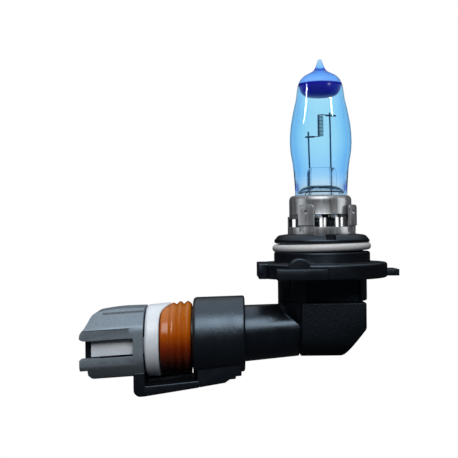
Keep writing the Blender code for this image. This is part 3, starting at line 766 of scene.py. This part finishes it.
def make_base():
    """The black base: top disc, seal groove, collar, flange with its lugs, and the column."""
    profile = [
        (7.3, 6.6),
        (10.0, 6.25),
        (10.95, 5.1),
        (10.9, 4.6),
        (10.3, 4.3),
        (9.35, 4.3),
        (9.35, 2.55),
        (10.75, 2.5),
        (11.0, 2.2),
        (11.0, 0.0),
        (14.5, 0.0),
        (14.85, -0.35),
        (14.85, -3.1),
        (14.55, -3.4),
        (10.2, -3.4),
        (10.2, -8.6),
        (3.7, -8.6),
        (3.7, 6.6),
    ]
    radii = [0.2, 0.5, 0.4, 0.3, 0.2, 0.2, 0.2, 0.2, 0.15]
    radii += [0.25, 0.2, 0.2, 0.2, 0.2, 0.3, 0.2, 0.1, 0.1]
    base = lathe("base_moulding", rounded(profile, radii, 3))
    side_lug = soften(box("side_lug", (13.0, -3.5, -3.1), (17.2, 3.5, -1.6)), 0.15, 2)
    rear_lug = soften(box("rear_lug", (-14.85, -7.0, -3.4), (-9.0, 7.0, 0.0)), 0.2, 2)
    front_lug = soften(box("front_lug", (-11.3, -16.2, -3.2), (-0.5, -7.0, -0.9)), 0.15, 2)
    rib = rounded([(0.0, -2.3), (2.46, -2.3), (2.46, 2.4), (0.0, 2.4)], [0, 0.3, 0.3, 0])
    rib = lathe("index_rib", rib, False, 64)
    move(rib, shift(-6.3, -11.9, -1.1) @ spin(90.0, "X"))
    join(base, side_lug, rear_lug, front_lug, rib)
    cut(
        base,
        box("rim_notch", (-0.2, -12.0, 5.2), (2.0, -8.6, 7.5)),
        box("front_recess", (-4.6, -12.0, -9.5), (7.9, -5.2, -3.7)),
        box("side_slit", (-8.15, -9.0, -9.5), (-7.7, -5.9, -3.7)),
    )
    dot = lathe("dot", [(0.0, -0.3), (0.32, -0.3), (0.32, 0.5), (0.0, 0.5)], False, 24)
    cut(base, move(dot, shift(-14.1, -7.0, -2.4) @ spin(90.0, "X")))
    install(base, "housing", BLACK, "black_nylon", "base_housing")


def make_ring():
    """The pale seal ring, tilted a little in its groove."""
    ring = move(torus("base_seal", 10.45, 0.86, 3.5), spin(-1.2, "Y"))
    install(ring, "housing", PALE, "pale_silicone", "seal_ring")


# ---------------------------------------------------------------- elbow and arm


def make_arm():
    """The glossy tube and, in one piece with it, the drum that stands under the base's column."""
    profile = [(6.55, 20.2), (6.0, 4.5), (NECK_BORE, 4.5), (NECK_BORE, 20.2)]
    tube = lathe("arm_pipe", profile)
    side = curve([(10.2, -8.65), (10.2, -10.0), (9.9, -11.2), (9.1, -12.6), (8.0, -14.2)], 4)
    drum = lathe("drum", side + [(0.0, -14.2), (0.0, -8.65)])
    move(drum, ARM.inverted())
    bore = [(0.0, 1.0), (NECK_BORE, 1.0), (NECK_BORE, 13.0), (0.0, 13.0)]
    cut(drum, lathe("bore", bore, False))
    join(tube, drum)
    cover_side = box("cover_side", (-5.66, -12.0, -25.0), (12.0, 12.0, -5.0))
    cut(tube, move(cover_side, ARM.inverted()))
    install(tube, "housing", GLOSS_BLACK, "black_nylon", "arm_tube", place=ARM)


def make_elbow():
    """The matte corner piece, hollow for the leads, with two rounded lower corners."""
    outline = [(-5.6, -8.65), (-5.6, -20.9), (3.7, -20.9), (8.8, -14.5), (8.8, -8.65)]
    cover = plate("elbow_block", outline, -9.0, 9.0)
    section = [(-9.0, -7.0), (-9.0, -20.9), (9.0, -20.9), (9.0, -7.0)]
    section = rounded(section, [0, 5.0, 5.0, 0], 10)
    keep(cover, move(plate("section", section, -14.0, 14.0), spin(90.0, "Z")))
    soften(cover, 0.35, 3, 35.0)
    cut(cover, box("cavity", (-8.0, -3.6, -18.6), (5.0, 3.6, -6.0)))
    install(cover, "housing", MATTE, "matte_nylon", "elbow_cover")


# ---------------------------------------------------------------- plug


def make_barrel():
    """The charcoal barrel with its stepped foot, and the neck that carries the seal."""
    profile = [
        (NECK_RADIUS, NECK_END),
        (NECK_RADIUS, BARREL_END),
        (9.12, BARREL_END),
        (8.7, BARREL_START),
        (INNER_RADIUS, BARREL_START),
        (INNER_RADIUS, 20.5),
        (NECK_BORE, 20.5),
        (NECK_BORE, NECK_END),
    ]
    profile = rounded(profile, [0.1, 0.1, 1.0, 0.6, 0.3, 0.1, 0.1, 0.1], 6)
    barrel = lathe("plug_barrel", profile, steps=FINE_STEPS)
    steps = [
        (-4.5, 18.9),
        (-8.8, 18.9),
        (-8.8, 20.2),
        (-9.4, 20.2),
        (-9.4, 21.5),
        (-10.1, 22.6),
        (-10.75, 28.85),
        (-4.5, 28.85),
    ]
    foot = soften(plate("foot", steps, -LATCH_HALF_WIDTH, LATCH_HALF_WIDTH), 0.2, 2)
    root = lathe("root", [(0.0, -7.0), (0.86, -7.0), (0.86, 7.0), (0.0, 7.0)], False, 48)
    up, along = LATCH_ROOT
    cut(foot, move(root, shift(up, 0.0, along) @ spin(90.0, "X")))
    cut(foot, lathe("hollow", [(0.0, 17.0), (7.8, 17.0), (7.8, 30.0), (0.0, 30.0)], False))
    join(barrel, foot)
    install(barrel, "housing", CHARCOAL, "charcoal_nylon", "connector_body", place=ARM)


def make_tower():
    """The tower inside the lock, with a channel and a mouth for each terminal."""
    tower = box("plug_tower", (-4.9, -4.4, NECK_END), (4.4, 4.4, 50.4))
    join(tower, box("nose", (-4.6, -4.2, 49.0), (3.5, 4.2, 54.2)))
    soften(tower, 0.2, 2)
    for middle in (2.5, -2.5):
        channel = box("channel", (middle - 1.1, -1.7, 37.0), (middle + 1.1, 1.7, 53.0))
        mouth = box("mouth", (middle - 0.6, -1.5, 52.4), (middle + 0.6, 1.5, 55.8))
        cut(tower, channel, mouth)
    install(tower, "housing", BLACK, "black_nylon", place=ARM)


def make_seal():
    """The amber sleeve with four ribs."""
    outer, inner, valley, half_rib = 7.3, 6.9, 7.8, 0.8
    points = [(outer, SEAL_END), (7.5, SEAL_END - 0.2)]
    for middle, peak in ((36.1, 7.9), (34.45, 8.2), (32.8, 8.42), (31.1, 8.35)):
        points += [(valley, middle + half_rib), (peak, middle), (valley, middle - half_rib)]
    points += [(outer, SEAL_START)]
    seal = lathe("ribbed_seal", curve(points, 4) + [(inner, SEAL_START), (inner, SEAL_END)])
    install(seal, "housing", AMBER, "amber_silicone", "interface_seal", place=ARM)


def make_retainer():
    """The white ring, its two arms in the lock's slots and its lip that bulges over the seal."""
    profile = [
        (7.7, RETAINER_END),
        (8.2, 40.0),
        (8.2, 37.7),
        (7.9, RETAINER_START),
        (INNER_RADIUS, RETAINER_START),
        (INNER_RADIUS, 39.5),
        (3.0, 39.5),
        (3.0, RETAINER_END),
    ]
    ring = lathe("retainer_ring", rounded(profile, [0.25, 0.3, 0.2, 0.2, 0.1, 0.1, 0.1, 0.1], 3))
    cut(ring, box("opening", (-5.2, -4.7, 35.0), (4.7, 4.7, 45.0)))
    for low, high in ((-5.95, -4.7), (4.7, 5.95)):
        join(ring, soften(box("arm", (-2.2, low, 39.0), (1.3, high, 52.6)), 0.12, 2))
    lip = rounded([(8.2, 38.2), (8.35, 37.5), (7.95, 37.2), (7.7, 38.2)], [0, 0.2, 0.2, 0])
    lip = lathe("lip", lip, steps=FINE_STEPS)
    bulge, reach = 2.3, 26.0
    for vertex in lip.data.vertices:
        turn = math.degrees(math.atan2(vertex.co.y, vertex.co.x))
        if vertex.co.z < 37.9 * MM:
            vertex.co.z -= bulge * MM * math.exp(-((turn / reach) ** 2))
    join(ring, lip)
    install(ring, "housing", WHITE, "white_nylon", "seal_retainer", place=ARM)


def make_lock():
    """The grey nose shell, open along both sides for the retainer's arms and grooved on top."""
    slot_low, slot_high = SLOT
    outline = [
        (7.85, LOCK_START),
        (8.1, 46.8),
        (7.5, 52.3),
        (4.3, 53.9),
        (3.4, 54.9),
        (2.0, 55.1),
        (slot_high, 54.1),
        (slot_low, 54.1),
        (slot_low, 55.0),
        (-5.1, 55.0),
        (-5.1, 53.3),
        (-6.3, 53.3),
        (-7.3, 52.4),
        (-7.3, LOCK_START),
    ]
    radii = [0.2, 3.0, 1.1, 0.8, 0.7, 0.6, 0.0, 0.0, 0.2, 0.25, 0.1, 0.3, 0.7, 0.2]
    shell = plate("lock_shell", rounded(outline, radii, 5), -12.0, 12.0)
    section = [(8.6, 3.6), (6.9, 5.15), (3.8, 7.95), (-3.6, 7.95), (-7.3, 5.2)]
    section += [(up, -y) for up, y in reversed(section)]
    section = rounded(section, [1.6, 1.0, 1.2, 1.6, 0.6, 0.6, 1.6, 1.2, 1.0, 1.6], 5)
    across = plate("section", section, -60.0, -38.0)
    keep(shell, move(across, spin(-90.0, "X")))
    for low, high in ((-10.0, -7.5), (7.5, 10.0)):
        cut(shell, box("flat", (-10.0, low, 43.9), (3.9, high, SLOT_END)))
    for side in (-1, 1):
        low, high = sorted((side * 4.7, side * 5.1))
        cut(shell, box("groove", (6.6, low, 39.0), (9.0, high, 50.0)))
    soften(shell, 0.18, 2, 50.0)
    bore = lathe("bore", [(0.0, 36.0), (6.9, 36.0), (6.9, 50.6), (0.0, 50.6)], False)
    cut(shell, bore, box("window", (-4.9, -4.7, 50.0), (3.8, 4.7, SLOT_END)))
    for low, high in ((-10.0, -4.0), (4.0, 10.0)):
        cut(shell, box("slot", (slot_low, low, SLOT_START), (slot_high, high, SLOT_END)))
    install(shell, "lock", GREY, "grey_nylon", "terminal_lock", place=ARM)


def make_latch():
    """The sprung lever with its hook and rounded root, and the low wall on its far side."""
    outline = [
        (-9.2, 28.9),
        (-9.6, 40.6),
        (-6.5, 40.6),
        (-6.5, 43.2),
        (-10.9, 43.2),
        (-11.9, 42.2),
        (-11.9, 40.9),
        (-10.8, 28.9),
    ]
    outline = rounded(outline, [0.0, 0.5, 0.3, 0.3, 0.6, 0.6, 0.6, 0.0], 4)
    up, along = LATCH_ROOT
    turns = [math.radians(180 + 180 * i / 12) for i in range(1, 12)]
    outline += [(up + 0.8 * math.cos(t), along + 0.8 * math.sin(t)) for t in turns]
    latch = soften(plate("latch_lever", outline, -LATCH_HALF_WIDTH, LATCH_HALF_WIDTH), 0.25, 3)
    wall = box("wall", (-10.0, 5.2, 30.4), (-7.9, LATCH_HALF_WIDTH, 41.5))
    join(latch, soften(wall, 0.2, 2))
    cut(latch, lathe("clearance", [(0.0, 28.0), (8.5, 28.0), (8.5, 50.0), (0.0, 50.0)], False))
    install(latch, "latch", BLACK, "black_nylon", "latch_arm", place=ARM)


def finish_hidden_nodes():
    """Gives the CAD nodes that are shown as they are the same finishes as the rest."""
    finishes = {
        "sealing_foil_short": WIRE,
        "sealing_foil_long": WIRE,
        "terminal_upper": TINNED,
        "terminal_lower": TINNED,
        "terminal_seal": AMBER,
    }
    for node, finish in finishes.items():
        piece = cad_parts[node]
        piece.data.materials.clear()
        piece.data.materials.append(finish)


# ---------------------------------------------------------------- stage


def area_light(name, azimuth, elevation, distance, width, height, power):
    """A white soft box aimed at the object; azimuth 0 is the front and grows to the right."""
    lamp = bpy.data.lights.new(name, "AREA")
    lamp.shape = "RECTANGLE"
    lamp.size = width
    lamp.size_y = height
    lamp.energy = power
    light = bpy.data.objects.new(name, lamp)
    bpy.context.scene.collection.objects.link(light)
    turn, rise = math.radians(azimuth), math.radians(elevation)
    level = math.cos(rise)
    away = Vector((math.sin(turn) * level, -math.cos(turn) * level, math.sin(rise)))
    light.location = Vector(LIGHT_AIM) * MM + away * distance
    light.rotation_euler = away.to_track_quat("Z", "Y").to_euler()
    return light


def link_light(light, state, *pieces):
    """Lets a light reach only the pieces, or all but the pieces."""
    group = bpy.data.collections.new(light.name + "_pieces")
    for name in pieces:
        group.objects.link(bpy.data.objects[name])
    for entry in group.collection_objects:
        entry.light_linking.link_state = state
    light.light_linking.receiver_collection = group


def seen_directly(tree):
    """1 for what is seen straight on or through glass, 0 for what is reflected or bounced."""
    path = tree.nodes.new("ShaderNodeLightPath")
    seen = tree.nodes.new("ShaderNodeMath")
    seen.operation = "MAXIMUM"
    tree.links.new(path.outputs["Is Camera Ray"], seen.inputs[0])
    tree.links.new(path.outputs["Is Transmission Ray"], seen.inputs[1])
    return seen.outputs["Value"]


def choose(tree, factor, reflected, direct, target):
    """Mixes two shaders by the factor into an output."""
    mix = tree.nodes.new("ShaderNodeMixShader")
    tree.links.new(factor, mix.inputs["Fac"])
    tree.links.new(reflected, mix.inputs[1])
    tree.links.new(direct, mix.inputs[2])
    tree.links.new(mix.outputs["Shader"], target)


def make_world():
    """White behind the object and through its glass; in reflections it brightens with height."""
    world = bpy.data.worlds.new("studio")
    bpy.context.scene.world = world
    world.use_nodes = True
    tree = world.node_tree
    tree.nodes.clear()
    white = tree.nodes.new("ShaderNodeBackground")
    white.inputs["Color"].default_value = (1.0, 1.0, 1.0, 1.0)
    white.inputs["Strength"].default_value = 1.0
    dim = tree.nodes.new("ShaderNodeBackground")
    dim.inputs["Color"].default_value = (0.9, 0.95, 1.0, 1.0)
    coordinates = tree.nodes.new("ShaderNodeTexCoord")
    split = tree.nodes.new("ShaderNodeSeparateXYZ")
    rise = tree.nodes.new("ShaderNodeMapRange")
    rise.inputs["From Min"].default_value = 0.42
    rise.inputs["To Min"].default_value = 0.015
    rise.inputs["To Max"].default_value = 1.2
    tree.links.new(coordinates.outputs["Generated"], split.inputs["Vector"])
    tree.links.new(split.outputs["Z"], rise.inputs["Value"])
    tree.links.new(rise.outputs["Result"], dim.inputs["Strength"])
    output = tree.nodes.new("ShaderNodeOutputWorld")
    dim, white = dim.outputs["Background"], white.outputs["Background"]
    choose(tree, seen_directly(tree), dim, white, output.inputs["Surface"])


def make_floor():
    """A plain floor that is seen as white and throws little light back up."""
    shape = bmesh.new()
    corners = ((-1, -1), (1, -1), (1, 1), (-1, 1))
    spots = [Vector((x * FLOOR_HALF, y * FLOOR_HALF, FLOOR_HEIGHT)) * MM for x, y in corners]
    shape.faces.new([shape.verts.new(spot) for spot in spots])
    floor = add_mesh("floor", shape)
    made, tree, shader = new_material("pale_floor")
    shader.inputs["Base Color"].default_value = (0.04, 0.04, 0.043, 1.0)
    shader.inputs["Roughness"].default_value = 0.9
    shader.inputs["Specular IOR Level"].default_value = 0.0
    glow = tree.nodes.new("ShaderNodeEmission")
    glow.inputs["Strength"].default_value = 1.0
    dark, white = shader.outputs["BSDF"], glow.outputs["Emission"]
    surface = tree.nodes["Material Output"].inputs["Surface"]
    choose(tree, seen_directly(tree), dark, white, surface)
    floor.data.materials.append(made)


def make_lights():
    """A soft key from the front, streaks for the glass, fills for the steel and for the leads."""
    key = area_light("key", -4.0, 42.0, 0.5, 0.5, 0.3, 2.1)
    link_light(key, "EXCLUDE", "glass_bulb")
    for side, azimuth, elevation, width, height, power in (
        ("left", -76.0, 31.0, 0.03, 0.085, 1.2),
        ("right", 47.0, 33.5, 0.04, 0.05, 0.9),
    ):
        strip = area_light(f"{side}_strip", azimuth, elevation, 0.4, width, height, power)
        link_light(strip, "INCLUDE", "glass_bulb")
    for side, azimuth, power in (("left", -82.0, 0.6), ("right", 80.0, 0.8)):
        fill = area_light(f"{side}_fill", azimuth, 8.0, 0.5, 0.25, 0.35, power)
        link_light(fill, "INCLUDE", "holder_cup", "holder_sleeve")
    low_fill = area_light("low_fill", -8.0, 2.0, 0.4, 0.2, 0.1, 0.9)
    link_light(low_fill, "INCLUDE", "lead_out_short", "lead_out_long")


def make_camera():
    """The view from the front, level and nearly upright."""
    camera = bpy.data.cameras.new("camera")
    camera.lens = LENS
    camera.sensor_width = SENSOR
    camera.clip_start = 0.01
    holder = bpy.data.objects.new("camera", camera)
    bpy.context.scene.collection.objects.link(holder)
    x, y, z = VIEW_CENTRE
    level = shift(x, y - VIEW_DISTANCE, z) @ spin(90.0, "X")
    holder.matrix_world = level @ spin(-VIEW_ROLL, "Z")
    bpy.context.scene.camera = holder


make_glass()
make_pinch()
make_wires()
make_filament()
make_leads()
make_sleeve()
make_cup()
make_base()
make_ring()
make_arm()
make_elbow()
make_barrel()
make_tower()
make_seal()
make_retainer()
make_lock()
make_latch()
finish_hidden_nodes()

bpy.context.scene.view_settings.view_transform = "Standard"
make_world()
make_floor()
make_camera()
make_lights()
